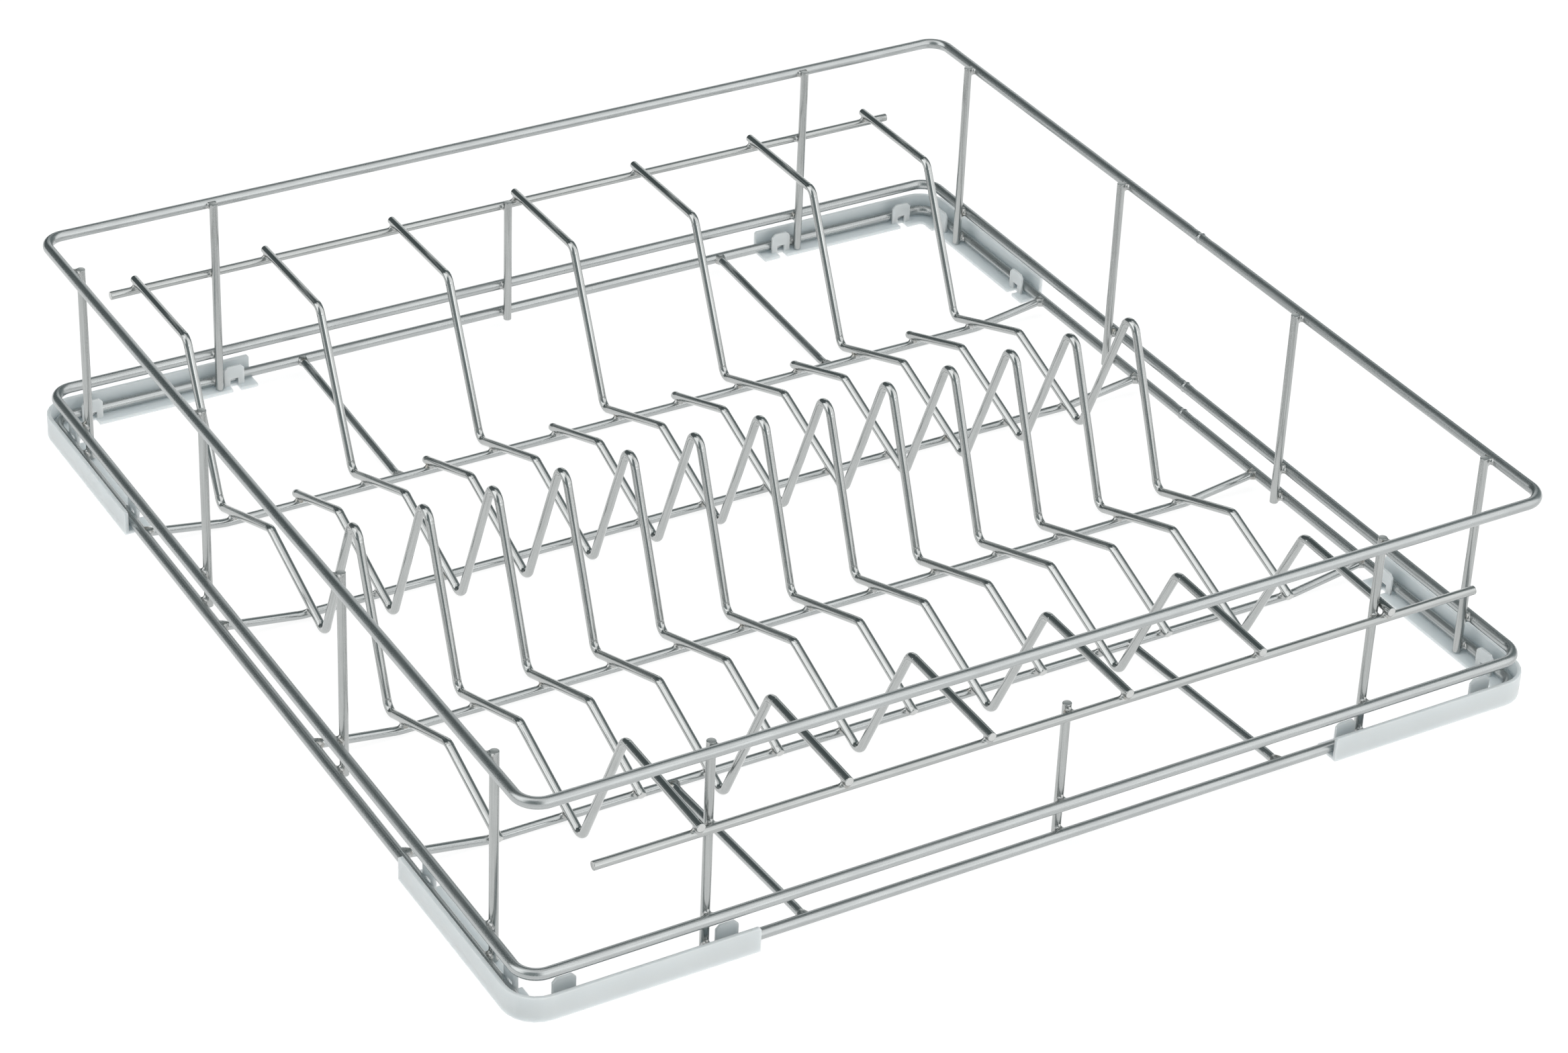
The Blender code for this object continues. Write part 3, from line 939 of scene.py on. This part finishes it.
class Sky:
    """The studio seen from the rack: soft windows of light in a dim room, placed by angles in degrees.

    Azimuth 0 is to the back, 90 to the right, and the elevation is above the floor."""

    def __init__(self):
        world = bpy.data.worlds.new("studio")
        bpy.context.scene.world = world
        world.use_nodes = True
        self.tree = world.node_tree
        direction = node(self.tree, "ShaderNodeTexCoord").outputs["Generated"]
        parts = self.tree.nodes.new("ShaderNodeSeparateXYZ")
        self.tree.links.new(direction, parts.inputs[0])
        self.x, self.y, z = parts.outputs
        squares = [self.math("MULTIPLY", value, value) for value in (self.x, self.y)]
        level = self.math("SQRT", self.math("ADD", *squares))
        self.level = self.math("MAXIMUM", level, 0.001)
        self.elevation = self.math("DEGREES", self.math("ARCSINE", z))
        self.total = None

    def math(self, operation, first, second=0.0):
        return math_node(self.tree, operation, first, second)

    def turn_from(self, azimuth):
        """How many degrees a direction lies to either side of this azimuth."""
        east, north = math.sin(math.radians(azimuth)), math.cos(math.radians(azimuth))
        along = self.math("ADD", self.math("MULTIPLY", self.x, east), self.math("MULTIPLY", self.y, north))
        cosine = self.math("DIVIDE", along, self.level)
        cosine = self.math("MINIMUM", self.math("MAXIMUM", cosine, -1.0), 1.0)
        return self.math("DEGREES", self.math("ARCCOSINE", cosine))

    def rise(self, value, start, end):
        made = node(self.tree, "ShaderNodeMapRange")
        made.interpolation_type = "SMOOTHSTEP"
        made.inputs["From Min"].default_value = start
        made.inputs["From Max"].default_value = end
        self.tree.links.new(value, made.inputs["Value"])
        return made.outputs["Result"]

    def light(self, radiance):
        self.total = radiance if self.total is None else self.math("MAXIMUM", self.total, radiance)

    def window(self, radiance, azimuth, half_width, soft, low, high, soft_height):
        beside = self.rise(self.turn_from(azimuth), half_width - soft, half_width + soft)
        across = self.math("SUBTRACT", 1.0, beside)
        above = self.rise(self.elevation, low - soft_height, low + soft_height)
        over = self.rise(self.elevation, high - soft_height, high + soft_height)
        below = self.math("SUBTRACT", 1.0, over)
        shape = self.math("MULTIPLY", across, self.math("MULTIPLY", above, below))
        self.light(self.math("MULTIPLY", shape, radiance))

    def build(self):
        bright = self.math("MINIMUM", self.total, 1.0)
        tint = mix_colour(self.tree, bright, (0.80, 1.0, 1.02), (1.0, 1.0, 1.0))
        ground = self.tree.nodes["Background"]
        self.tree.links.new(tint, ground.inputs["Color"])
        self.tree.links.new(self.total, ground.inputs["Strength"])


def build_light():
    sky = Sky()
    # The dim room, darkest behind the rack, then the windows, then the light overhead.
    room = sky.math("MULTIPLY", sky.rise(sky.turn_from(-10.0), 30.0, 95.0), 0.17)
    sky.light(sky.math("ADD", room, 0.14))
    sky.window(1.42, 145.0, 47.0, 8.0, -20.0, 70.0, 6.0)
    sky.window(2.0, 169.0, 18.0, 5.0, 10.0, 26.0, 3.0)
    sky.window(1.75, -78.0, 29.0, 5.0, 8.0, 140.0, 5.0)
    sky.window(0.90, 31.0, 15.0, 6.0, -20.0, 33.0, 8.0)
    sky.light(sky.math("MULTIPLY", sky.rise(sky.elevation, 54.0, 69.0), 1.05))
    sky.build()


def build_camera():
    data = bpy.data.cameras.new("camera")
    data.sensor_width = 36.0
    data.lens = 95.618
    data.shift_y = -0.0857
    data.clip_end = 200.0
    camera = bpy.data.objects.new("camera", data)
    camera.matrix_world = Matrix(
        (
            (0.865319, 0.226581, -0.447085, -0.826566),
            (-0.499721, 0.458981, -0.734585, -1.375823),
            (0.038760, 0.859068, 0.510392, 1.043770),
            (0.0, 0.0, 0.0, 1.0),
        )
    )
    bpy.context.scene.collection.objects.link(camera)
    bpy.context.scene.camera = camera


plan_post_welds()
plan_plate_wire_welds()
plan_end_welds()
build_ring("lower_base_ring", LOWER_RING_Z)
build_ring("upper_base_ring", UPPER_RING_Z)
build_ring("rim_ring", RIM_Z)
build_posts()
build_rails()
build_plate_wires()
build_bars_and_stubs()
build_guards()
for group in (RIM_WELDS, UPPER_WELDS, LOWER_WELDS, RAIL_WELDS, BAR_WELDS):
    group.build()
build_floor()
build_light()
build_camera()
bpy.context.scene.view_settings.view_transform = "Standard"
